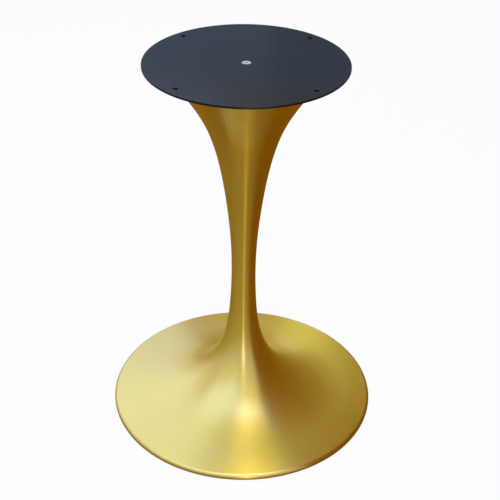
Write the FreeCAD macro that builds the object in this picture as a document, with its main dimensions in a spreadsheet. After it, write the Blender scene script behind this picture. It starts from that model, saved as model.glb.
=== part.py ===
import FreeCAD, Part
import math
import os
import re

import Sketcher

# Tulip table base: a spun steel trumpet on a wide round foot, with a round plate that is screwed up into a
# table top. A rod through the stem draws the plate down on the trumpet's mouth, and lifts the cast-iron
# ballast against the inside of the foot.
# Frame: millimetres, +Z up, origin on the floor under the middle of the foot.

# Driving dimensions: alias, value in millimetres or degrees, meaning
SIZES = (
    ("total_height", 720, "floor to the top of the mounting plate"),
    ("plate_diameter", 356, "mounting plate, across"),
    ("plate_thickness", 4, "mounting plate"),
    ("plate_edge_round", 0.8, "rounding of the plate's edges"),
    ("table_hole", 9, "diameter of the holes for the screws into the table top"),
    ("table_hole_inset", 18, "middle of those holes from the plate's edge"),
    ("table_hole_count", 4, "number of those holes"),
    ("table_hole_angle", 45, "angle of the first of them from +X"),
    ("wall", 2, "sheet of the trumpet"),
    ("mouth_radius", 143, "outside of the trumpet under the plate"),
    ("mouth_lean", 37, "lean of the mouth's wall from upright"),
    ("mouth_cone", 12, "height of the straight cone at the mouth"),
    ("mouth_pull", 65, "height over which the mouth's lean is carried into the flare"),
    ("neck_radius", 53.5, "control point of the flare, from the axis"),
    ("neck_drop", 142, "control point of the flare, below the mouth"),
    ("stem_radius", 23, "the stem's waist"),
    ("stem_swell", 7, "upper control point of the stem, outside the waist"),
    ("stem_drop", 276, "upper control point of the stem, below the mouth"),
    ("stem_draw", 8, "lower control point of the stem, inside the waist"),
    ("stem_rise", 260, "lower control point of the stem, above the floor"),
    ("hollow_radius", 44, "control point of the foot's hollow, from the axis"),
    ("skirt_width", 53.5, "straight skirt of the foot, in from the foot's edge"),
    ("skirt_slope", 7, "slope of the skirt"),
    ("foot_diameter", 517, "foot, across"),
    ("rim_radius", 7, "rolled rim of the foot, outside"),
    ("rim_roll", 30, "how far the rim is rolled under, past upright"),
    ("rim_lift", 2, "rim above the floor"),
    ("thread_diameter", 8, "rod and screw"),
    ("thread_gap", 0.1, "radial play between a thread and its nut"),
    ("bolt_gap", 0.5, "play round the rod in the ballast"),
    ("end_chamfer", 0.8, "ends of threads and bores of nuts"),
    ("corner_angle", 30, "chamfer of a nut's corners"),
    ("seat_gap", 0.2, "play between conical seats"),
    ("screw_head", 16, "countersunk head, across"),
    ("screw_length", 20, "countersunk screw, with its head"),
    ("socket_flats", 5, "hexagon socket, across flats"),
    ("socket_depth", 3, "hexagon socket"),
    ("countersink_margin", 1, "how much wider the countersunk hole is than the head, all round"),
    ("disc_thickness", 4, "disc in the trumpet's mouth"),
    ("disc_hole_gap", 0.5, "play round the screw's cone in the disc"),
    ("sleeve_flats", 17, "sleeve nut, across flats"),
    ("sleeve_length", 30, "sleeve nut"),
    ("rod_engagement", 14, "rod inside the sleeve nut"),
    ("rod_overhang", 3, "rod below its nut"),
    ("nut_flats", 13, "rod nut, across flats"),
    ("nut_height", 6.5, "rod nut"),
    ("spring_diameter", 14.8, "spring washer, across"),
    ("spring_thickness", 2, "spring washer"),
    ("spring_slot", 1.5, "slot of the spring washer"),
    ("spring_slant", 1, "sideways lean of that slot over the washer's thickness"),
    ("washer_diameter", 24, "flat washer, across"),
    ("washer_thickness", 2, "flat washer"),
    ("washer_gap", 0.3, "play round the rod in both washers"),
    ("ballast_inset", 30, "ballast's edge, in from the foot's edge"),
    ("ballast_seat", 20, "width of the ballast's rim, which seats under the skirt"),
    ("ballast_web", 5, "thickness of the ballast between rim and hub"),
    ("ballast_lift", 7, "ballast above the floor"),
    ("ballast_round", 2.5, "casting radii of the ballast's rim and lower edges"),
    ("hub_radius", 48, "hub in the middle of the ballast"),
    ("hub_top", 46, "top of the hub above the floor"),
    ("hub_round", 5, "casting radii of the hub"),
    ("recess_radius", 30, "recess for the nut under the hub"),
    ("recess_top", 24, "face in the recess that the washer bears on, above the floor"),
    ("pad_radius", 16, "floor pads"),
    ("pad_taper", 1.5, "how much narrower a pad is at the floor"),
    ("pad_round", 1.2, "lower edge of a pad"),
    ("pad_count", 6, "number of floor pads"),
    ("pad_inset", 24, "middle of a pad, in from the ballast's edge"),
    ("pad_seat", 1, "depth of a pad's seat in the ballast"),
    ("pad_gap", 0.3, "play round a pad in its seat"),
)

# Points of a line or curve in a sketch, and the sketch's own origin
START, END, CENTRE, ORIGIN = 1, 2, 3, -1
HEXAGON_SIDES = 6
HALF_HEXAGON_CORNER = 30
SPLINE_DEGREE = 3
# How near an edge must lie to a wanted ring to count as that ring
RING_TOLERANCE = 1e-4

# Places that several pieces share, as formulas in the sheet's aliases
PLATE_UNDERSIDE = "total_height - plate_thickness"
DISC_UNDERSIDE = f"{PLATE_UNDERSIDE} - disc_thickness"
SLEEVE_UNDERSIDE = f"{DISC_UNDERSIDE} - sleeve_length"
SCREW_TOP = "total_height - countersink_margin + seat_gap"
COUNTERSINK_RADIUS = "(screw_head / 2 + countersink_margin)"
TABLE_HOLE_RING = "(plate_diameter / 2 - table_hole_inset)"
WASHER_UNDERSIDE = "recess_top - washer_thickness"
SPRING_UNDERSIDE = f"{WASHER_UNDERSIDE} - spring_thickness"
NUT_UNDERSIDE = f"{SPRING_UNDERSIDE} - nut_height"
ROD_UNDERSIDE = f"{NUT_UNDERSIDE} - rod_overhang"
RIM_CENTRE_RADIUS = "(foot_diameter / 2 - rim_radius)"
RIM_CENTRE_HEIGHT = "(rim_lift + rim_radius * sin(rim_roll))"
SKIRT_RADIUS = "(foot_diameter / 2 - skirt_width)"
BALLAST_RADIUS = "(foot_diameter / 2 - ballast_inset)"
PAD_RING = f"({BALLAST_RADIUS} - pad_inset)"

doc = FreeCAD.newDocument("tulip_table_base")
sheet = doc.addObject("Spreadsheet::Sheet", "Sizes")
for row, (alias, size, meaning) in enumerate(SIZES, start=1):
    sheet.set(f"A{row}", meaning)
    sheet.set(f"B{row}", str(size))
    sheet.setAlias(f"B{row}", alias)
doc.recompute()

ALIASES = {alias for alias, _, _ in SIZES}
pieces = []


def cell(formula):
    """A formula in the sheet's aliases, written as an expression of the document."""
    return re.sub(r"[a-z_]+", lambda word: f"Sizes.{word[0]}" if word[0] in ALIASES else word[0], formula)


def number(formula):
    """What a formula in the sheet's aliases comes to."""
    return float(sheet.evalExpression(cell(formula)))


def bind(feature, **sizes):
    """Tie a feature's properties to formulas, with Placement_Base_z for Placement.Base.z."""
    for name, formula in sizes.items():
        feature.setExpression(name.replace("_", "."), cell(formula))


def new_piece(label, height="0"):
    """A body of its own, standing at a height above the floor."""
    body = doc.addObject("PartDesign::Body", label)
    body.Label = label
    bind(body, Placement_Base_z=height)
    pieces.append(body)
    return body


def sketch_on(body, name, role):
    """A sketch on one of the body's own planes."""
    sketch = body.newObject("Sketcher::SketchObject", name)
    plane = next(feature for feature in body.Origin.OriginFeatures if feature.Role == role)
    sketch.AttachmentSupport = (plane, [""])
    sketch.MapMode = "FlatFace"
    return sketch


def spot(corner):
    """A pair of formulas as a point of a sketch."""
    return FreeCAD.Vector(number(corner[0]), number(corner[1]), 0)


def place(sketch, geometry, point, corner):
    """Hold a point of a sketch at a pair of formulas from the sketch's origin."""
    for kind, formula in zip(("DistanceX", "DistanceY"), corner):
        held = Sketcher.Constraint(kind, ORIGIN, START, geometry, point, number(formula))
        sketch.setExpression(f"Constraints[{sketch.addConstraint(held)}]", cell(formula))


def join(sketch, first, second):
    """Start one line or curve of a sketch where another ends."""
    sketch.addConstraint(Sketcher.Constraint("Coincident", first, END, second, START))


def draw_polygon(sketch, corners):
    """A closed outline with its corners at pairs of formulas."""
    spots = [spot(corner) for corner in corners]
    lines = [sketch.addGeometry(Part.LineSegment(a, b)) for a, b in zip(spots, spots[1:] + spots[:1])]
    for line, following, corner in zip(lines, lines[1:] + lines[:1], corners):
        join(sketch, line, following)
        place(sketch, line, START, corner)


def draw_circle(sketch, radius, centre=("0", "0")):
    """A circle with its radius and centre given by formulas."""
    circle = Part.Circle(spot(centre), FreeCAD.Vector(0, 0, 1), number(radius))
    geometry = sketch.addGeometry(circle)
    place(sketch, geometry, CENTRE, centre)
    held = Sketcher.Constraint("Radius", geometry, number(radius))
    sketch.setExpression(f"Constraints[{sketch.addConstraint(held)}]", cell(radius))


def turn(body, kind, name, *outlines):
    """A revolution or a groove of outlines given as radius and height."""
    sketch = sketch_on(body, f"{name}_section", "XZ_Plane")
    for corners in outlines:
        draw_polygon(sketch, corners)
    feature = body.newObject(f"PartDesign::{kind}", name)
    feature.Profile = sketch
    feature.ReferenceAxis = (sketch, ["V_Axis"])
    feature.Angle = 360
    doc.recompute()
    return feature


def dress_edges(body, kind, name, size, wanted):
    """A fillet or a chamfer on the circular edges that match a list of radius and height formulas."""
    doc.recompute()
    base = body.Tip
    rings = [(number(radius), number(height)) for radius, height in wanted]
    edges = []
    for index, edge in enumerate(base.Shape.Edges, start=1):
        if isinstance(edge.Curve, Part.Circle):
            ring = (edge.Curve.Radius, edge.Curve.Center.z)
            if any(math.dist(ring, target) < RING_TOLERANCE for target in rings):
                edges.append(f"Edge{index}")
    feature = body.newObject(f"PartDesign::{kind}", name)
    feature.Base = (base, edges)
    bind(feature, **{"Radius" if kind == "Fillet" else "Size": size})
    doc.recompute()


def pattern_round(body, feature, name, axis_sketch, count):
    """Repeat a feature evenly round the body's axis."""
    pattern = body.newObject("PartDesign::PolarPattern", name)
    pattern.Originals = [feature]
    pattern.Axis = (axis_sketch, ["N_Axis"])
    pattern.Angle = 360
    bind(pattern, Occurrences=count)
    body.Tip = pattern
    doc.recompute()


def skirt_height(radius):
    """Height of the outside of the straight skirt, which runs into the rim's roll as a tangent."""
    return (f"{RIM_CENTRE_HEIGHT} + rim_radius / cos(skirt_slope)"
            f" + ({RIM_CENTRE_RADIUS} - ({radius})) * tan(skirt_slope)")


def make_trumpet_shell():
    """The trumpet: one profile from the mouth to the rolled rim, turned and shelled."""
    body = new_piece("trumpet_shell")
    sketch = sketch_on(body, "meridian", "XZ_Plane")
    mouth_axis = ("0", PLATE_UNDERSIDE)
    mouth_edge = ("mouth_radius", PLATE_UNDERSIDE)
    poles = (
        ("mouth_radius - mouth_cone * tan(mouth_lean)", f"{PLATE_UNDERSIDE} - mouth_cone"),
        ("mouth_radius - (mouth_cone + mouth_pull) * tan(mouth_lean)",
         f"{PLATE_UNDERSIDE} - mouth_cone - mouth_pull"),
        ("neck_radius", f"{PLATE_UNDERSIDE} - neck_drop"),
        ("stem_radius + stem_swell", f"{PLATE_UNDERSIDE} - stem_drop"),
        ("stem_radius - stem_draw", "stem_rise"),
        ("hollow_radius", skirt_height("hollow_radius")),
        (SKIRT_RADIUS, skirt_height(SKIRT_RADIUS)),
    )
    rim_top = (f"{RIM_CENTRE_RADIUS} + rim_radius * sin(skirt_slope)",
               f"{RIM_CENTRE_HEIGHT} + rim_radius * cos(skirt_slope)")
    rim_end = (f"{RIM_CENTRE_RADIUS} + rim_radius * cos(rim_roll)", "rim_lift")
    rim_axis = ("0", "rim_lift")

    # A cubic spline with evenly spaced knots through the flare, the stem and the foot's hollow
    spans = len(poles) - SPLINE_DEGREE
    knots = [step / spans for step in range(spans + 1)]
    multiplicities = [SPLINE_DEGREE + 1] + [1] * (spans - 1) + [SPLINE_DEGREE + 1]
    spots = [spot(pole) for pole in poles]
    curve = Part.BSplineCurve()
    curve.buildFromPolesMultsKnots(spots, multiplicities, knots, False, SPLINE_DEGREE)
    flare = sketch.addGeometry(curve)
    sketch.exposeInternalGeometry(flare)
    for index, pole in enumerate(poles, start=flare + 1):
        place(sketch, index, CENTRE, pole)

    # The rim's arc runs anticlockwise, from its lower end up to the skirt
    rim_centre = spot((RIM_CENTRE_RADIUS, RIM_CENTRE_HEIGHT))
    rim_circle = Part.Circle(rim_centre, FreeCAD.Vector(0, 0, 1), number("rim_radius"))
    low, high = rim_circle.parameter(spot(rim_end)), rim_circle.parameter(spot(rim_top))
    rim = sketch.addGeometry(Part.ArcOfCircle(rim_circle, low, high))

    def line(first, last):
        return sketch.addGeometry(Part.LineSegment(spot(first), spot(last)))

    mouth_top = line(mouth_axis, mouth_edge)
    mouth_cone = line(mouth_edge, poles[0])
    skirt = line(poles[-1], rim_top)
    underside = line(rim_end, rim_axis)
    axis = line(rim_axis, mouth_axis)
    join(sketch, mouth_top, mouth_cone)
    join(sketch, mouth_cone, flare)
    join(sketch, flare, skirt)
    sketch.addConstraint(Sketcher.Constraint("Coincident", skirt, END, rim, END))
    sketch.addConstraint(Sketcher.Constraint("Coincident", rim, START, underside, START))
    join(sketch, underside, axis)
    join(sketch, axis, mouth_top)
    place(sketch, mouth_top, START, mouth_axis)
    place(sketch, mouth_cone, START, mouth_edge)
    place(sketch, skirt, END, rim_top)
    place(sketch, underside, START, rim_end)
    place(sketch, axis, START, rim_axis)
    held = Sketcher.Constraint("Radius", rim, number("rim_radius"))
    sketch.setExpression(f"Constraints[{sketch.addConstraint(held)}]", cell("rim_radius"))

    solid = body.newObject("PartDesign::Revolution", "turned_form")
    solid.Profile = sketch
    solid.ReferenceAxis = (sketch, ["V_Axis"])
    solid.Angle = 360
    doc.recompute()
    open_faces = [f"Face{index}" for index, face in enumerate(solid.Shape.Faces, start=1)
                  if isinstance(face.Surface, Part.Plane)]
    shell = body.newObject("PartDesign::Thickness", "sheet")
    shell.Base = (solid, open_faces)
    shell.Reversed = True
    shell.Join = "Arc"
    bind(shell, Value="wall")
    doc.recompute()


def make_top_plate():
    """The mounting plate, with its ring of screw holes and a countersunk hole in the middle."""
    body = new_piece("top_plate", PLATE_UNDERSIDE)
    outline = sketch_on(body, "plate_outline", "XY_Plane")
    draw_circle(outline, "plate_diameter / 2")
    disc = body.newObject("PartDesign::Pad", "disc")
    disc.Profile = outline
    bind(disc, Length="plate_thickness")
    doc.recompute()
    hole = body.newObject("PartDesign::SubtractiveCylinder", "table_screw_hole")
    bind(hole, Radius="table_hole / 2", Height="plate_thickness",
         Placement_Base_x=f"{TABLE_HOLE_RING} * cos(table_hole_angle)",
         Placement_Base_y=f"{TABLE_HOLE_RING} * sin(table_hole_angle)")
    doc.recompute()
    pattern_round(body, hole, "table_screw_holes", outline, "table_hole_count")
    depth = "plate_thickness"
    turn(body, "Groove", "countersunk_hole", (
        ("0", "0"),
        (f"{COUNTERSINK_RADIUS} - plate_thickness", "0"),
        (COUNTERSINK_RADIUS, depth),
        ("0", depth),
    ))
    edge = "plate_diameter / 2"
    dress_edges(body, "Fillet", "edge_rounding", "plate_edge_round", [(edge, "0"), (edge, depth)])


def make_plate_screw():
    """The countersunk screw with a hexagon socket, head up."""
    body = new_piece("plate_screw", SCREW_TOP)
    shank = "thread_diameter / 2"
    turn(body, "Revolution", "blank", (
        ("0", "0"),
        ("screw_head / 2", "0"),
        (shank, f"{shank} - screw_head / 2"),
        (shank, "end_chamfer - screw_length"),
        (f"{shank} - end_chamfer", "-screw_length"),
        ("0", "-screw_length"),
    ))
    socket = body.newObject("PartDesign::SubtractivePrism", "socket")
    socket.Polygon = HEXAGON_SIDES
    bind(socket, Circumradius=f"socket_flats / 2 / cos({HALF_HEXAGON_CORNER})", Height="socket_depth",
         Placement_Base_z="-socket_depth")


def make_mouth_disc():
    """The disc that wedges into the cone of the trumpet's mouth, level with its edge."""
    body = new_piece("mouth_disc", DISC_UNDERSIDE)
    top_radius = "mouth_radius - (wall + seat_gap) / cos(mouth_lean)"
    hole = f"{COUNTERSINK_RADIUS} - plate_thickness + disc_hole_gap"
    turn(body, "Revolution", "disc", (
        (hole, "0"),
        (f"{top_radius} - disc_thickness * tan(mouth_lean)", "0"),
        (top_radius, "disc_thickness"),
        (hole, "disc_thickness"),
    ))


def make_nut(label, height, flats, length):
    """A hexagon nut with chamfered corners and a plain bore for the thread."""
    body = new_piece(label, height)
    hexagon = body.newObject("PartDesign::AdditivePrism", f"{label}_hexagon")
    hexagon.Polygon = HEXAGON_SIDES
    bind(hexagon, Circumradius=f"{flats} / 2 / cos({HALF_HEXAGON_CORNER})", Height=length)
    bore = body.newObject("PartDesign::SubtractiveCylinder", f"{label}_bore")
    radius = "thread_diameter / 2 + thread_gap"
    bind(bore, Radius=radius, Height=length)
    doc.recompute()
    flat, outside = f"{flats} / 2", f"{flats}"
    drop = f"{flats} / 2 * tan(corner_angle)"
    turn(body, "Groove", f"{label}_corners",
         ((flat, length), (outside, length), (outside, f"{length} - {drop}")),
         ((flat, "0"), (outside, "0"), (outside, drop)))
    dress_edges(body, "Chamfer", f"{label}_bore_edges", "end_chamfer", [(radius, "0"), (radius, length)])


def make_tie_rod():
    """The rod from below its nut up into the sleeve nut."""
    body = new_piece("tie_rod", ROD_UNDERSIDE)
    length = f"{SLEEVE_UNDERSIDE} + rod_engagement - ({ROD_UNDERSIDE})"
    rod = body.newObject("PartDesign::AdditiveCylinder", "rod")
    radius = "thread_diameter / 2"
    bind(rod, Radius=radius, Height=length)
    dress_edges(body, "Chamfer", "rod_ends", "end_chamfer", [(radius, "0"), (radius, length)])


def make_ballast():
    """The cast weight: a rim that seats under the skirt, a web, and a hub with a recess for the nut."""
    body = new_piece("ballast")
    seat_edge = f"{skirt_height(BALLAST_RADIUS)} - (wall + seat_gap) / cos(skirt_slope)"
    rim_inside = f"{BALLAST_RADIUS} - ballast_seat"
    rod_hole = "thread_diameter / 2 + bolt_gap"
    web_top = "ballast_lift + ballast_web"
    turn(body, "Revolution", "casting", (
        (rod_hole, "recess_top"),
        ("recess_radius", "recess_top"),
        ("recess_radius", "ballast_lift"),
        (BALLAST_RADIUS, "ballast_lift"),
        (BALLAST_RADIUS, seat_edge),
        (rim_inside, f"{seat_edge} + ballast_seat * tan(skirt_slope)"),
        (rim_inside, web_top),
        ("hub_radius", web_top),
        ("hub_radius", "hub_top"),
        (rod_hole, "hub_top"),
    ))
    seat = body.newObject("PartDesign::SubtractiveCylinder", "pad_recess")
    bind(seat, Radius="pad_radius + pad_gap", Height="pad_seat", Placement_Base_x=PAD_RING,
         Placement_Base_z="ballast_lift")
    doc.recompute()
    axis_sketch = sketch_on(body, "pad_axis", "XY_Plane")
    pattern_round(body, seat, "pad_recesses", axis_sketch, "pad_count")
    hub_rings = [("hub_radius", web_top), ("hub_radius", "hub_top")]
    dress_edges(body, "Fillet", "hub_rounding", "hub_round", hub_rings)
    rim_rings = [(rim_inside, web_top), ("recess_radius", "ballast_lift"), (BALLAST_RADIUS, "ballast_lift")]
    dress_edges(body, "Fillet", "rim_rounding", "ballast_round", rim_rings)


def make_washer(label, height, diameter, thickness):
    """A plain ring round the rod."""
    body = new_piece(label, height)
    outline = sketch_on(body, f"{label}_outline", "XY_Plane")
    draw_circle(outline, f"{diameter} / 2")
    draw_circle(outline, "thread_diameter / 2 + washer_gap")
    ring = body.newObject("PartDesign::Pad", f"{label}_ring")
    ring.Profile = outline
    bind(ring, Length=thickness)
    doc.recompute()
    return body


def make_spring_washer():
    """The split washer, pressed flat, with its slanted slot on +X."""
    body = make_washer("spring_washer", SPRING_UNDERSIDE, "spring_diameter", "spring_thickness")
    whole = body.Shape.Volume
    gap = sketch_on(body, "slot_outline", "YZ_Plane")
    low, high = "-spring_slot / 2 - spring_slant / 2", "spring_slot / 2 - spring_slant / 2"
    draw_polygon(gap, (
        (low, "0"),
        (high, "0"),
        (f"{high} + spring_slant", "spring_thickness"),
        (f"{low} + spring_slant", "spring_thickness"),
    ))
    slot = body.newObject("PartDesign::Pocket", "slot")
    slot.Profile = gap
    slot.Type = "ThroughAll"
    slot.Reversed = True
    doc.recompute()
    if body.Shape.Volume >= whole:
        raise RuntimeError("the slot cuts nothing out of the spring washer")


def make_floor_pads():
    """Rubber pads in their seats under the ballast, each a piece of its own."""
    for index in range(int(number("pad_count"))):
        label = f"floor_pad_{index + 1}"
        body = new_piece(label)
        angle = f"{index} * 360 / pad_count"
        bind(body, Placement_Base_x=f"{PAD_RING} * cos({angle})",
             Placement_Base_y=f"{PAD_RING} * sin({angle})")
        narrow = "pad_radius - pad_taper"
        top = "ballast_lift + pad_seat"
        turn(body, "Revolution", f"{label}_form", (
            ("0", "0"),
            (narrow, "0"),
            ("pad_radius", "ballast_lift"),
            ("pad_radius", top),
            ("0", top),
        ))
        dress_edges(body, "Fillet", f"{label}_edge", "pad_round", [(narrow, "0")])


make_trumpet_shell()
make_top_plate()
make_plate_screw()
make_mouth_disc()
make_nut("sleeve_nut", SLEEVE_UNDERSIDE, "sleeve_flats", "sleeve_length")
make_tie_rod()
make_ballast()
make_washer("flat_washer", WASHER_UNDERSIDE, "washer_diameter", "washer_thickness")
make_spring_washer()
make_nut("rod_nut", NUT_UNDERSIDE, "nut_flats", "nut_height")
make_floor_pads()
doc.recompute()

for item in doc.Objects:
    if {"Invalid", "Error"} & set(item.State):
        raise RuntimeError(f"{item.Name} did not build: {item.State}")
for piece in pieces:
    if piece.Shape.isNull() or not piece.Shape.isValid() or len(piece.Shape.Solids) != 1:
        raise RuntimeError(f"{piece.Label} is not one sound solid")

os.makedirs("parts", exist_ok=True)
for piece in pieces:
    piece.Shape.exportStep(f"parts/{piece.Label}.step")
    print(piece.Label, f"{piece.Shape.Volume / 1000:.2f} cm3", piece.Shape.BoundBox)
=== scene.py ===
import logging
import math
from abc import ABC, abstractmethod
from dataclasses import dataclass
from enum import Enum
from typing import Any, ClassVar

import bmesh
import bpy
from mathutils import Matrix, Vector


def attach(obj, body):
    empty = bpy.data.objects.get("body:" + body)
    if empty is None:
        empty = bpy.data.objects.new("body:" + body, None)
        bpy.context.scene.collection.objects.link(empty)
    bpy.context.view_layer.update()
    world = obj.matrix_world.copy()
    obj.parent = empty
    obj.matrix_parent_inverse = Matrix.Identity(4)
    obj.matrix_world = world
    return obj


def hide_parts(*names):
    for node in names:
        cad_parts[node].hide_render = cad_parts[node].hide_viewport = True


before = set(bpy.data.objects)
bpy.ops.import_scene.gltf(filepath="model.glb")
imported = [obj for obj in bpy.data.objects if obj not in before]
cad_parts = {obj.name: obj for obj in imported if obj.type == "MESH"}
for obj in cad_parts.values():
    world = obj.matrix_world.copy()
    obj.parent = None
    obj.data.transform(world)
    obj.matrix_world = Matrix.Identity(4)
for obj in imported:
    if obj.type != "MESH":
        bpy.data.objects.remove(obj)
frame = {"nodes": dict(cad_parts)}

# Tulip table base: a brushed gold trumpet on a wide round foot, under a black mounting plate.
# Lengths are in metres in the part's own frame: +Z up, origin on the floor under the middle of the foot.

LOG = logging.getLogger("tulip_table_base")
ROOT_BODY = "root"
FULL_TURN = 2.0 * math.pi
QUARTER_TURN = math.pi / 2.0
UP = Vector((0.0, 0.0, 1.0))

# Most of a noise lies between these two values.
NOISE_LOW = 0.3
NOISE_HIGH = 0.7

Colour = tuple[float, float, float]
Node = bpy.types.Node
Socket = str | int


class Slot(Enum):
    """Material slots of the part's record."""

    GOLD = "brushed_gold"
    PLATE = "black_powder_coat"
    ZINC = "bright_zinc"
    STEEL = "mill_steel"
    CASTING = "cast_ballast"
    RUBBER = "black_rubber"


def opaque(colour: Colour) -> tuple[float, float, float, float]:
    """The colour with full opacity, as a socket takes it."""
    return (*colour, 1.0)


def set_inputs(node: Node, values: dict[Socket, Any]) -> None:
    """Set values on a node's own input sockets."""
    for socket, value in values.items():
        node.inputs[socket].default_value = value


class Graph:
    """A material's node tree, which ends in one shader, with short ways to add and join nodes."""

    def __init__(self, name: str) -> None:
        """Start a material with a principled shader joined to its output.

        Args:
            name: Name of the material.
        """
        self.material = bpy.data.materials.new(name)
        self.material.use_nodes = True
        self.tree = self.material.node_tree
        self.tree.nodes.clear()
        self.shader = self.add("ShaderNodeBsdfPrincipled")
        output = self.add("ShaderNodeOutputMaterial")
        self.join(self.shader, "BSDF", output, "Surface")

    def add(self, kind: str, inputs: dict[Socket, Any] | None = None, **settings: Any) -> Node:
        """Add a node.

        Args:
            kind: Type name of the node.
            inputs: Values for its input sockets, by name or number.
            settings: Values for its own properties.

        Returns:
            The new node.
        """
        node = self.tree.nodes.new(kind)
        for name, value in settings.items():
            setattr(node, name, value)
        set_inputs(node, inputs or {})
        return node

    def join(self, source: Node, output: Socket, target: Node, socket: Socket) -> None:
        """Link an output of one node to an input of another."""
        self.tree.links.new(source.outputs[output], target.inputs[socket])

    def calculate(self, operation: str, source: Node, output: Socket, value: float = 0.0) -> Node:
        """Add a calculation with one output of a node.

        Args:
            operation: Name of the operation, such as MULTIPLY.
            source: Node to read.
            output: Which of its outputs.
            value: The second term, for an operation that has one.

        Returns:
            The new node.
        """
        node = self.add("ShaderNodeMath", {1: value}, operation=operation)
        self.join(source, output, node, 0)
        return node

    def stretch(self, noise: Node, low: float, high: float) -> Node:
        """Add a map from a noise to a range.

        Args:
            noise: Node with values about one half.
            low: Result at the noise's dark end.
            high: Result at its bright end.

        Returns:
            The new node.
        """
        ends = {"From Min": NOISE_LOW, "From Max": NOISE_HIGH, "To Min": low, "To Max": high}
        node = self.add("ShaderNodeMapRange", ends)
        self.join(noise, 0, node, "Value")
        return node

    def blend(self, noise: Node, low: Colour, high: Colour) -> Node:
        """Add a blend of two colours by a noise.

        Args:
            noise: Node with values about one half.
            low: Colour at the noise's dark end.
            high: Colour at its bright end.

        Returns:
            The new node, whose colour output is number 0.
        """
        ramp = self.add("ShaderNodeValToRGB")
        stops = ramp.color_ramp.elements
        for stop, position, colour in zip(stops, (NOISE_LOW, NOISE_HIGH), (low, high)):
            stop.position = position
            stop.color = opaque(colour)
        self.join(noise, 0, ramp, "Fac")
        return ramp

    def vary(self, noise: Node, dark: Colour, light: Colour, roughness: float, play: float) -> None:
        """Vary the shader's colour and roughness by a noise.

        Args:
            noise: Node with values about one half.
            dark: Colour at the noise's dark end.
            light: Colour at its bright end.
            roughness: Roughness at the middle of the noise.
            play: How far the roughness goes to either side.
        """
        self.join(self.blend(noise, dark, light), 0, self.shader, "Base Color")
        uneven = self.stretch(noise, roughness - play, roughness + play)
        self.join(uneven, 0, self.shader, "Roughness")

    def grain(self, scale: float, detail: float) -> Node:
        """Add a noise in the piece's own coordinates.

        Args:
            scale: Grains to a metre.
            detail: How many finer layers it has.

        Returns:
            The noise node.
        """
        place = self.add("ShaderNodeTexCoord")
        noise = self.add("ShaderNodeTexNoise", {"Scale": scale, "Detail": detail})
        self.join(place, "Object", noise, "Vector")
        return noise

    def bump(self, noise: Node, share: float, depth: float) -> None:
        """Raise the surface by a noise.

        Args:
            noise: Node with the heights.
            share: Share of the effect.
            depth: Height of the relief.
        """
        node = self.add("ShaderNodeBump", {"Strength": share, "Distance": depth})
        self.join(noise, 0, node, "Height")
        self.join(node, "Normal", self.shader, "Normal")


class Finish(ABC):
    """A surface finish that makes its own material."""

    @abstractmethod
    def material(self) -> bpy.types.Material:
        """Make the finish's material."""


@dataclass(frozen=True)
class BrushedGold(Finish):
    """Gold-toned metal, brushed round the axis on a lathe and lacquered."""

    uv_map: ClassVar[str] = "brushing"
    pale: Colour = (0.61, 0.465, 0.062)
    deep: Colour = (0.56, 0.425, 0.052)
    edge_tone: Colour = (0.9, 0.7, 0.3)
    roughness: float = 0.375
    roughness_play: float = 0.02
    anisotropy: float = 0.9
    lacquer: float = 1.0
    lacquer_roughness: float = 0.3
    lacquer_index: float = 1.8
    lines_per_metre: float = 1300.0
    line_detail: float = 3.0
    # A turn of the trumpet is a circle of this radius in the noise, so that its two ends meet.
    turn_radius: float = 2.5
    relief: float = 0.00002
    relief_share: float = 0.05

    def _lines(self, graph: Graph) -> Node:
        """Add a noise that is drawn out round the axis.

        Args:
            graph: Graph that takes it.

        Returns:
            The noise node.
        """
        place = graph.add("ShaderNodeUVMap", uv_map=self.uv_map)
        split = graph.add("ShaderNodeSeparateXYZ")
        graph.join(place, "UV", split, "Vector")
        spot = graph.add("ShaderNodeCombineXYZ")
        angle = graph.calculate("MULTIPLY", split, "Y", FULL_TURN)
        for wave, axis in (("COSINE", "X"), ("SINE", "Y")):
            swing = graph.calculate(wave, angle, 0)
            graph.join(graph.calculate("MULTIPLY", swing, 0, self.turn_radius), 0, spot, axis)
        along = graph.calculate("MULTIPLY", split, "X", self.lines_per_metre)
        graph.join(along, 0, spot, "Z")
        noise = graph.add("ShaderNodeTexNoise", {"Scale": 1.0, "Detail": self.line_detail})
        graph.join(spot, "Vector", noise, "Vector")
        return noise

    def material(self) -> bpy.types.Material:
        """Make metal whose gloss spreads along the meridian, across the brushed lines.

        Returns:
            The material, which reads the piece's own map.
        """
        graph = Graph(Slot.GOLD.value)
        set_inputs(graph.shader, {
            "Metallic": 1.0,
            "Anisotropic": self.anisotropy,
            "Specular Tint": opaque(self.edge_tone),
            "Coat Weight": self.lacquer,
            "Coat Roughness": self.lacquer_roughness,
            "Coat IOR": self.lacquer_index,
        })
        lines = self._lines(graph)
        graph.vary(lines, self.deep, self.pale, self.roughness, self.roughness_play)
        tangent = graph.add("ShaderNodeTangent", direction_type="UV_MAP", uv_map=self.uv_map)
        graph.join(tangent, "Tangent", graph.shader, "Tangent")
        graph.bump(lines, self.relief_share, self.relief)
        return graph.material


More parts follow.
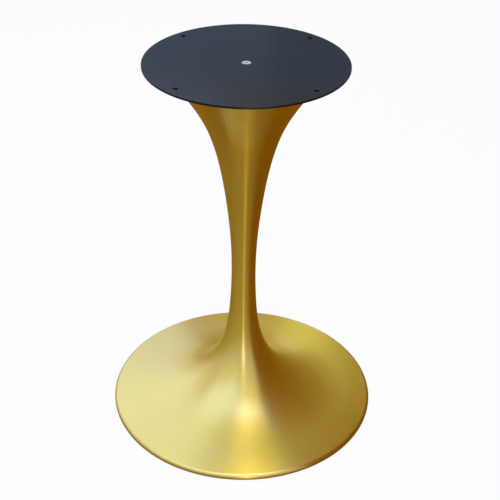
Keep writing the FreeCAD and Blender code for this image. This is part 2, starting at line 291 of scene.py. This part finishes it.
@dataclass(frozen=True)
class PowderCoat(Finish):
    """Satin black powder coat with a fine orange peel."""

    dark: Colour = (0.0040, 0.0043, 0.0050)
    light: Colour = (0.0060, 0.0064, 0.0072)
    gloss: float = 0.2
    roughness: float = 0.38
    roughness_play: float = 0.03
    clouds_per_metre: float = 14.0
    cloud_detail: float = 3.0
    peel_per_metre: float = 900.0
    peel_detail: float = 2.0
    peel_depth: float = 0.00008
    peel_share: float = 0.12

    def material(self) -> bpy.types.Material:
        """Make a dark satin coat, uneven by a shade.

        Returns:
            The material.
        """
        graph = Graph(Slot.PLATE.value)
        set_inputs(graph.shader, {"Specular IOR Level": self.gloss})
        clouds = graph.grain(self.clouds_per_metre, self.cloud_detail)
        graph.vary(clouds, self.dark, self.light, self.roughness, self.roughness_play)
        peel = graph.grain(self.peel_per_metre, self.peel_detail)
        graph.bump(peel, self.peel_share, self.peel_depth)
        return graph.material


@dataclass(frozen=True)
class GrainedFinish(Finish):
    """A surface whose colour, gloss and relief follow one fine grain."""

    metallic: ClassVar[float]
    roughness_play: ClassVar[float]
    grain_detail: ClassVar[float]
    relief_share: ClassVar[float]
    slot: Slot
    dark: Colour
    light: Colour
    roughness: float
    grain_per_metre: float
    relief: float

    def material(self) -> bpy.types.Material:
        """Make a surface with its own grain.

        Returns:
            The material.
        """
        graph = Graph(self.slot.value)
        set_inputs(graph.shader, {"Metallic": self.metallic})
        grain = graph.grain(self.grain_per_metre, self.grain_detail)
        graph.vary(grain, self.dark, self.light, self.roughness, self.roughness_play)
        graph.bump(grain, self.relief_share, self.relief)
        return graph.material


class PlainMetal(GrainedFinish):
    """Plated or mill-finished steel, with fine uneven gloss."""

    metallic = 1.0
    roughness_play = 0.07
    grain_detail = 4.0
    relief_share = 0.1


class RoughCoat(GrainedFinish):
    """A matt non-metal: primed casting or moulded rubber."""

    metallic = 0.0
    roughness_play = 0.06
    grain_detail = 6.0
    relief_share = 0.5


GOLD = BrushedGold()
PLATE_COAT = PowderCoat()
ZINC = PlainMetal(
    Slot.ZINC,
    dark=(0.54, 0.55, 0.56),
    light=(0.64, 0.65, 0.66),
    roughness=0.5,
    grain_per_metre=700.0,
    relief=0.00003,
)
STEEL = PlainMetal(
    Slot.STEEL,
    dark=(0.30, 0.30, 0.31),
    light=(0.42, 0.42, 0.43),
    roughness=0.46,
    grain_per_metre=350.0,
    relief=0.00003,
)
CASTING = RoughCoat(
    Slot.CASTING,
    dark=(0.030, 0.030, 0.033),
    light=(0.060, 0.060, 0.064),
    roughness=0.62,
    grain_per_metre=420.0,
    relief=0.0004,
)
RUBBER = RoughCoat(
    Slot.RUBBER,
    dark=(0.022, 0.022, 0.024),
    light=(0.036, 0.036, 0.038),
    roughness=0.72,
    grain_per_metre=900.0,
    relief=0.0001,
)


def paint(piece: bpy.types.Object, *finishes: Finish) -> None:
    """Give a piece its materials in place of those it has.

    Args:
        piece: A mesh piece or a node of the frame.
        finishes: One finish for each of its material slots.
    """
    piece.data.materials.clear()
    for finish in finishes:
        piece.data.materials.append(finish.material())


def add_piece(name: str, mesh: bmesh.types.BMesh) -> bpy.types.Object:
    """Put a finished mesh in the scene as a piece of the object.

    Args:
        name: Name of the piece.
        mesh: Its mesh, in place, which is freed.

    Returns:
        The new object, riding on the part's only body.
    """
    data = bpy.data.meshes.new(name)
    mesh.to_mesh(data)
    mesh.free()
    data.shade_smooth()
    piece = bpy.data.objects.new(name, data)
    bpy.context.scene.collection.objects.link(piece)
    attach(piece, ROOT_BODY)
    LOG.info("piece %s: %d faces", name, len(data.polygons))
    return piece


@dataclass
class Trumpet:
    """The spun shell, from its mouth under the plate to the rolled rim of its foot."""

    mouth_height: float = 0.716
    mouth_radius: float = 0.143
    mouth_lean: float = math.radians(37.0)
    mouth_cone: float = 0.012
    mouth_pull: float = 0.065
    neck_radius: float = 0.0535
    neck_drop: float = 0.142
    stem_upper_radius: float = 0.030
    stem_drop: float = 0.276
    stem_lower_radius: float = 0.015
    stem_rise: float = 0.260
    hollow_radius: float = 0.044
    foot_radius: float = 0.2585
    skirt_width: float = 0.0535
    skirt_slope: float = math.radians(7.0)
    rim_radius: float = 0.007
    rim_roll: float = math.radians(30.0)
    rim_lift: float = 0.002
    wall: float = 0.002
    curve_order: int = 4
    curve_steps: int = 28
    rim_steps: int = 12
    turn_steps: int = 256
    merge_distance: float = 1e-6

    def _rim_centre(self) -> Vector:
        """Middle of the rim's roll, on the +X side."""
        height = self.rim_lift + self.rim_radius * math.sin(self.rim_roll)
        return Vector((self.foot_radius - self.rim_radius, 0.0, height))

    def _skirt(self, radius: float) -> Vector:
        """Find a point of the straight skirt, which meets the rim's roll as a tangent.

        Args:
            radius: The point's distance from the axis.

        Returns:
            The point, on the +X side.
        """
        centre = self._rim_centre()
        rise_at_rim = self.rim_radius / math.cos(self.skirt_slope)
        rise = rise_at_rim + (centre.x - radius) * math.tan(self.skirt_slope)
        return Vector((radius, 0.0, centre.z + rise))

    def _cone(self, drop: float) -> Vector:
        """Point on the line of the mouth's cone, at a drop below the mouth."""
        radius = self.mouth_radius - drop * math.tan(self.mouth_lean)
        return Vector((radius, 0.0, self.mouth_height - drop))

    def _flare(self) -> bpy.types.Mesh:
        """Draw one smooth line through the flare, the stem and the foot's hollow.

        Returns:
            The line as a chain of vertices, from the mouth down.
        """
        poles = (
            self._cone(self.mouth_cone),
            self._cone(self.mouth_cone + self.mouth_pull),
            Vector((self.neck_radius, 0.0, self.mouth_height - self.neck_drop)),
            Vector((self.stem_upper_radius, 0.0, self.mouth_height - self.stem_drop)),
            Vector((self.stem_lower_radius, 0.0, self.stem_rise)),
            self._skirt(self.hollow_radius),
            self._skirt(self.foot_radius - self.skirt_width),
        )
        curve = bpy.data.curves.new("flare_line", "CURVE")
        curve.dimensions = "3D"
        curve.resolution_u = self.curve_steps
        spline = curve.splines.new("NURBS")
        spline.points.add(len(poles) - 1)
        for point, pole in zip(spline.points, poles):
            point.co = (*pole, 1.0)
        spline.order_u = self.curve_order
        spline.use_endpoint_u = True
        spline.resolution_u = self.curve_steps
        holder = bpy.data.objects.new("flare_line", curve)
        line = bpy.data.meshes.new_from_object(holder)
        bpy.data.objects.remove(holder)
        bpy.data.curves.remove(curve)
        return line

    def _profile(self) -> bmesh.types.BMesh:
        """Draw the whole outside profile.

        Returns:
            A chain of edges from the mouth's edge to the end of the rolled rim.
        """
        line = self._flare()
        mesh = bmesh.new()
        mesh.from_mesh(line)
        bpy.data.meshes.remove(line)
        mesh.verts.ensure_lookup_table()
        top, bottom = mesh.verts[0], mesh.verts[len(mesh.verts) - 1]
        edge = bmesh.ops.extrude_vert_indiv(mesh, verts=[top])["verts"][0]
        edge.co = self._cone(0.0)
        centre = self._rim_centre()
        skirt_normal = Vector((math.sin(self.skirt_slope), 0.0, math.cos(self.skirt_slope)))
        roll = bmesh.ops.extrude_vert_indiv(mesh, verts=[bottom])["verts"][0]
        roll.co = centre + skirt_normal * self.rim_radius
        bmesh.ops.spin(
            mesh,
            geom=[roll],
            cent=centre,
            axis=(0.0, 1.0, 0.0),
            angle=QUARTER_TURN - self.skirt_slope + self.rim_roll,
            steps=self.rim_steps,
        )
        return mesh

    @staticmethod
    def _measure(mesh: bmesh.types.BMesh) -> bmesh.types.BMLayerItem:
        """Store on each vertex of the profile how far along it lies, from the mouth down.

        Args:
            mesh: The profile, one open chain.

        Returns:
            The layer that holds the distances, which a spin carries along.
        """
        along = mesh.verts.layers.float.new("along")
        ends = [vertex for vertex in mesh.verts if len(vertex.link_edges) == 1]
        vertex = max(ends, key=lambda end: end.co.z)
        edge = vertex.link_edges[0]
        while True:
            following = edge.other_vert(vertex)
            following[along] = vertex[along] + edge.calc_length()
            onward = [link for link in following.link_edges if link is not edge]
            if not onward:
                return along
            vertex, edge = following, onward[0]

    def _turn(self, mesh: bmesh.types.BMesh) -> None:
        """Turn the profile round the axis, with its faces outwards.

        Args:
            mesh: The profile, which becomes the closed turn.
        """
        bmesh.ops.spin(
            mesh,
            geom=mesh.verts[:] + mesh.edges[:],
            cent=(0.0, 0.0, 0.0),
            axis=UP,
            angle=FULL_TURN,
            steps=self.turn_steps,
            use_merge=True,
        )
        bmesh.ops.remove_doubles(mesh, verts=mesh.verts[:], dist=self.merge_distance)
        bmesh.ops.recalc_face_normals(mesh, faces=mesh.faces[:])
        sample = max(mesh.faces, key=lambda face: face.calc_center_median().z)
        if sample.normal.xy.dot(sample.calc_center_median().xy) < 0.0:
            bmesh.ops.reverse_faces(mesh, faces=mesh.faces[:])

    @staticmethod
    def _map_brushing(mesh: bmesh.types.BMesh, along: bmesh.types.BMLayerItem) -> None:
        """Map the surface by distance down the profile and share of a turn.

        Args:
            mesh: The turned surface.
            along: Layer of distances down the profile.
        """
        layer = mesh.loops.layers.uv.new(GOLD.uv_map)
        for face in mesh.faces:
            centre = face.calc_center_median()
            middle = math.atan2(centre.y, centre.x)
            for loop in face.loops:
                spot = loop.vert.co
                turn = math.remainder(math.atan2(spot.y, spot.x) - middle, FULL_TURN)
                loop[layer].uv = (loop.vert[along], (middle + turn) / FULL_TURN)

    def build(self) -> bpy.types.Object:
        """Turn the profile and give it the sheet's thickness.

        Returns:
            The trumpet, in place of the frame's plain one.
        """
        mesh = self._profile()
        along = self._measure(mesh)
        self._turn(mesh)
        self._map_brushing(mesh, along)
        piece = add_piece("brushed_trumpet", mesh)
        # The sheet grows inwards, and its inner face takes the second material.
        sheet = piece.modifiers.new("sheet", "SOLIDIFY")
        sheet.thickness = self.wall
        sheet.offset = -1.0
        sheet.use_even_offset = True
        sheet.material_offset = 1
        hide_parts("trumpet_shell")
        return piece

    def dress(self, piece: bpy.types.Object) -> None:
        """Brush the outside gold and leave the inside as bare sheet."""
        paint(piece, GOLD, STEEL)


@dataclass
class NodeGroup:
    """A sub-assembly whose pieces keep the frame's own meshes."""

    finishes: dict[str, Finish]

    def dress(self, nodes: dict[str, bpy.types.Object]) -> None:
        """Paint each of the group's nodes.

        Args:
            nodes: The frame's nodes by name.
        """
        for name, finish in self.finishes.items():
            paint(nodes[name], finish)
            LOG.info("node %s: %s", name, nodes[name].data.materials[0].name)


PAD_NUMBERS = range(1, 7)
MOUNTING_PLATE = NodeGroup({"top_plate": PLATE_COAT, "plate_screw": ZINC})
CLAMP = NodeGroup({
    "mouth_disc": STEEL,
    "sleeve_nut": ZINC,
    "tie_rod": ZINC,
    "flat_washer": ZINC,
    "spring_washer": ZINC,
    "rod_nut": ZINC,
})
UNDERSIDE = NodeGroup({"ballast": CASTING, **{f"floor_pad_{number}": RUBBER for number in PAD_NUMBERS}})


def facing(target: Vector, azimuth: float, elevation: float, distance: float) -> Matrix:
    """Find the place of something that hangs round a point and faces it.

    Args:
        target: The point.
        azimuth: Degrees from the front, towards the right.
        elevation: Degrees above the horizon.
        distance: How far off it hangs.

    Returns:
        A matrix whose local -Z looks at the point.
    """
    turn = math.radians(azimuth)
    rise = math.radians(elevation)
    level = math.cos(rise)
    away = Vector((math.sin(turn) * level, -math.cos(turn) * level, math.sin(rise)))
    aim = away.to_track_quat("Z", "Y").to_matrix().to_4x4()
    return Matrix.Translation(target + away * distance) @ aim


def matt(name: str, colour: Colour) -> Graph:
    """Start a matt material of one colour.

    Args:
        name: Name of the material.
        colour: Its colour.

    Returns:
        The material's graph.
    """
    graph = Graph(name)
    set_inputs(graph.shader, {
        "Base Color": opaque(colour),
        "Roughness": 1.0,
        "Specular IOR Level": 0.0,
    })
    return graph


def show_white(tree: bpy.types.NodeTree, shader: Node, share: float) -> None:
    """Let the camera and reflections see a surface as mostly plain white.

    Args:
        tree: Node tree that ends in an output node.
        shader: Shader that is seen otherwise.
        share: How much of the white is mixed in.
    """
    path = tree.nodes.new("ShaderNodeLightPath")
    seen = path.outputs["Is Camera Ray"]
    for ray in ("Is Glossy Ray", "Is Transmission Ray"):
        either = tree.nodes.new("ShaderNodeMath")
        either.operation = "MAXIMUM"
        tree.links.new(seen, either.inputs[0])
        tree.links.new(path.outputs[ray], either.inputs[1])
        seen = either.outputs[0]
    scale = tree.nodes.new("ShaderNodeMath")
    scale.operation = "MULTIPLY"
    scale.inputs[1].default_value = share
    tree.links.new(seen, scale.inputs[0])
    white = tree.nodes.new("ShaderNodeEmission")
    mix = tree.nodes.new("ShaderNodeMixShader")
    tree.links.new(scale.outputs[0], mix.inputs[0])
    tree.links.new(shader.outputs[0], mix.inputs[1])
    tree.links.new(white.outputs[0], mix.inputs[2])
    output = next(node for node in tree.nodes if node.type in {"OUTPUT_MATERIAL", "OUTPUT_WORLD"})
    tree.links.new(mix.outputs[0], output.inputs["Surface"])


def add_panel(name: str, width: float, height: float, place: Matrix, graph: Graph) -> bpy.types.Object:
    """Put a flat panel of the studio in the scene.

    Args:
        name: Name of the panel.
        width: Its width.
        height: Its height.
        place: Where it stands and how it is turned.
        graph: Its material's graph.

    Returns:
        The new object.
    """
    mesh = bmesh.new()
    # The grid's size is half its side, so it starts as a square metre.
    bmesh.ops.create_grid(mesh, x_segments=1, y_segments=1, size=0.5)
    bmesh.ops.scale(mesh, vec=(width, height, 1.0), verts=mesh.verts[:])
    bmesh.ops.transform(mesh, matrix=place, verts=mesh.verts[:])
    data = bpy.data.meshes.new(name)
    mesh.to_mesh(data)
    mesh.free()
    data.materials.append(graph.material)
    panel = bpy.data.objects.new(name, data)
    bpy.context.scene.collection.objects.link(panel)
    return panel


WHITE = (1.0, 1.0, 1.0)
COOL_WHITE = (0.66, 1.01, 2.1)


@dataclass(frozen=True)
class SoftBox:
    """A soft lamp that the camera doesn't see, placed by degrees and metres from its target."""

    name: str
    azimuth: float
    elevation: float
    distance: float
    width: float
    height: float
    power: float
    colour: Colour = WHITE

    def add(self, target: Vector) -> None:
        """Hang the lamp.

        Args:
            target: Point that it faces.
        """
        data = bpy.data.lights.new(self.name, "AREA")
        data.shape = "RECTANGLE"
        data.size = self.width
        data.size_y = self.height
        data.energy = self.power
        data.color = self.colour
        lamp = bpy.data.objects.new(self.name, data)
        lamp.matrix_world = facing(target, self.azimuth, self.elevation, self.distance)
        lamp.visible_camera = False
        bpy.context.scene.collection.objects.link(lamp)


@dataclass(frozen=True)
class PaintedReflectionBoard:
    """A board that shows only in the object's gloss, as painted reflection or painted shade there,
    placed by degrees and metres from the axis.
    """

    name: str
    azimuth: float
    elevation: float
    distance: float
    lift: float
    width: float
    height: float
    colour: Colour
    glow: float = 0.0

    def add(self) -> None:
        """Place the board, facing the axis at the height of its lift."""
        graph = matt(self.name, self.colour)
        # The board's colour, and its glow where it has one, are painted reflection and painted shade in
        # the gloss; the board lights nothing and casts no shadow.
        set_inputs(graph.shader, {"Emission Color": opaque(self.colour), "Emission Strength": self.glow})
        place = facing(UP * self.lift, self.azimuth, self.elevation, self.distance)
        board = add_panel(self.name, self.width, self.height, place, graph)
        board.visible_camera = False
        board.visible_diffuse = False
        board.visible_shadow = False


@dataclass
class Studio:
    """Floor, surroundings, lamps, boards that paint reflections and shade into the gloss, and camera."""

    floor_size: float = 12.0
    floor_colour: Colour = (0.85, 0.85, 0.85)
    floor_white: float = 0.93
    world_glow: float = 0.5
    camera_back: float = 1.6855
    camera_height: float = 1.4279
    camera_pitch: float = math.radians(32.784)
    camera_roll: float = math.radians(0.777)
    camera_pan: float = math.radians(-0.33)
    camera_lens: float = 76.71
    camera_sensor: float = 36.0
    lamp_target_height: float = 0.3
    lamps: tuple[SoftBox, ...] = (
        SoftBox("back_left_box", azimuth=-148.0, elevation=35.0, distance=2.2,
                width=2.4, height=2.0, power=10.5, colour=COOL_WHITE),
        SoftBox("left_canopy", azimuth=-54.0, elevation=55.0, distance=1.3,
                width=1.4, height=1.1, power=5.3, colour=COOL_WHITE),
        SoftBox("front_strip", azimuth=4.5, elevation=-3.0, distance=1.6,
                width=0.14, height=0.4, power=1.9),
        SoftBox("top_strip", azimuth=36.0, elevation=79.0, distance=1.6,
                width=0.75, height=0.9, power=6.3),
        SoftBox("top_spot", azimuth=28.0, elevation=81.6, distance=1.59,
                width=0.36, height=0.22, power=3.8),
    )
    # Boards seen only in the gloss: their colours and glows are painted reflections and painted shade in
    # the gold and the plate.
    boards: tuple[PaintedReflectionBoard, ...] = (
        # Dark brown board at the right: painted shade on the right side of the gold, seen only in its
        # gloss.
        PaintedReflectionBoard("right_painted_shade_board", azimuth=105.0, elevation=0.0, distance=0.8, lift=1.3,
                   width=2.4, height=2.6, colour=(0.38, 0.17, 0.010)),
        # Dark brown sheet over the floor: painted shade in the gold's reflection of the floor, in place
        # of the white floor there.
        PaintedReflectionBoard("floor_painted_shade_sheet", azimuth=0.0, elevation=-90.0, distance=0.0, lift=0.0005,
                   width=5.0, height=5.0, colour=(0.34, 0.145, 0.002)),
        # Two glowing panels at the right back: painted reflection in the foot's gloss, the lower one
        # bright and the upper one dim.
        PaintedReflectionBoard("back_right_painted_glow", azimuth=158.0, elevation=25.0, distance=1.6, lift=0.05,
                   width=0.95, height=0.74, colour=(0.64, 0.58, 0.18), glow=1.2),
        PaintedReflectionBoard("back_right_painted_dim_glow", azimuth=158.0, elevation=57.0, distance=1.6, lift=0.05,
                   width=0.95, height=0.9, colour=(0.6, 0.45, 0.06), glow=0.2),
        # Blue-grey cards just behind the plate: a painted bluish sheen on the plate's top, lighter
        # towards the left.
        PaintedReflectionBoard("back_left_painted_sheen", azimuth=-168.0, elevation=0.0, distance=0.22, lift=0.804,
                   width=0.46, height=0.16, colour=(0.58, 0.73, 0.84)),
        PaintedReflectionBoard("back_right_painted_sheen", azimuth=146.0, elevation=0.0, distance=0.22, lift=0.814,
                   width=0.46, height=0.18, colour=(0.41, 0.49, 0.55)),
        # Warm board at the back left: painted reflection on the back left of the foot, seen only in its
        # gloss.
        PaintedReflectionBoard("back_left_painted_reflection", azimuth=-178.0, elevation=0.0, distance=1.0, lift=0.23,
                   width=0.42, height=0.46, colour=(0.6, 0.38, 0.08)),
    )

    def _floor(self) -> None:
        """Lay a white floor that keeps a soft shadow of the object."""
        graph = matt("white_floor", self.floor_colour)
        show_white(graph.tree, graph.shader, self.floor_white)
        floor = add_panel("floor", self.floor_size, self.floor_size, Matrix.Identity(4), graph)

    def _world(self) -> None:
        """Set white surroundings, dimmer as a light than as a background."""
        world = bpy.data.worlds.new("surroundings")
        bpy.context.scene.world = world
        world.use_nodes = True
        glow = world.node_tree.nodes["Background"]
        set_inputs(glow, {"Color": opaque(WHITE), "Strength": self.world_glow})
        show_white(world.node_tree, glow, 1.0)

    def _camera(self) -> None:
        """Set the camera at the photograph's angle."""
        data = bpy.data.cameras.new("camera")
        data.lens = self.camera_lens
        data.sensor_width = self.camera_sensor
        camera = bpy.data.objects.new("camera", data)
        camera.matrix_world = (
            Matrix.Translation((0.0, -self.camera_back, self.camera_height))
            @ Matrix.Rotation(QUARTER_TURN - self.camera_pitch, 4, "X")
            @ Matrix.Rotation(self.camera_roll, 4, "Z")
            @ Matrix.Rotation(self.camera_pan, 4, "Y")
        )
        bpy.context.scene.collection.objects.link(camera)
        bpy.context.scene.camera = camera

    def build(self) -> None:
        """Set up the whole studio."""
        bpy.context.scene.view_settings.view_transform = "Standard"
        self._floor()
        self._world()
        for lamp in self.lamps:
            lamp.add(UP * self.lamp_target_height)
        for board in self.boards:
            board.add()
        self._camera()


def main() -> None:
    """Build and dress the object, then the studio round it."""
    logging.basicConfig(level=logging.INFO, format="%(message)s")
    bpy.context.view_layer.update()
    trumpet = Trumpet()
    trumpet.dress(trumpet.build())
    for group in (MOUNTING_PLATE, CLAMP, UNDERSIDE):
        group.dress(frame["nodes"])
    Studio().build()


if __name__ == "__main__":
    main()
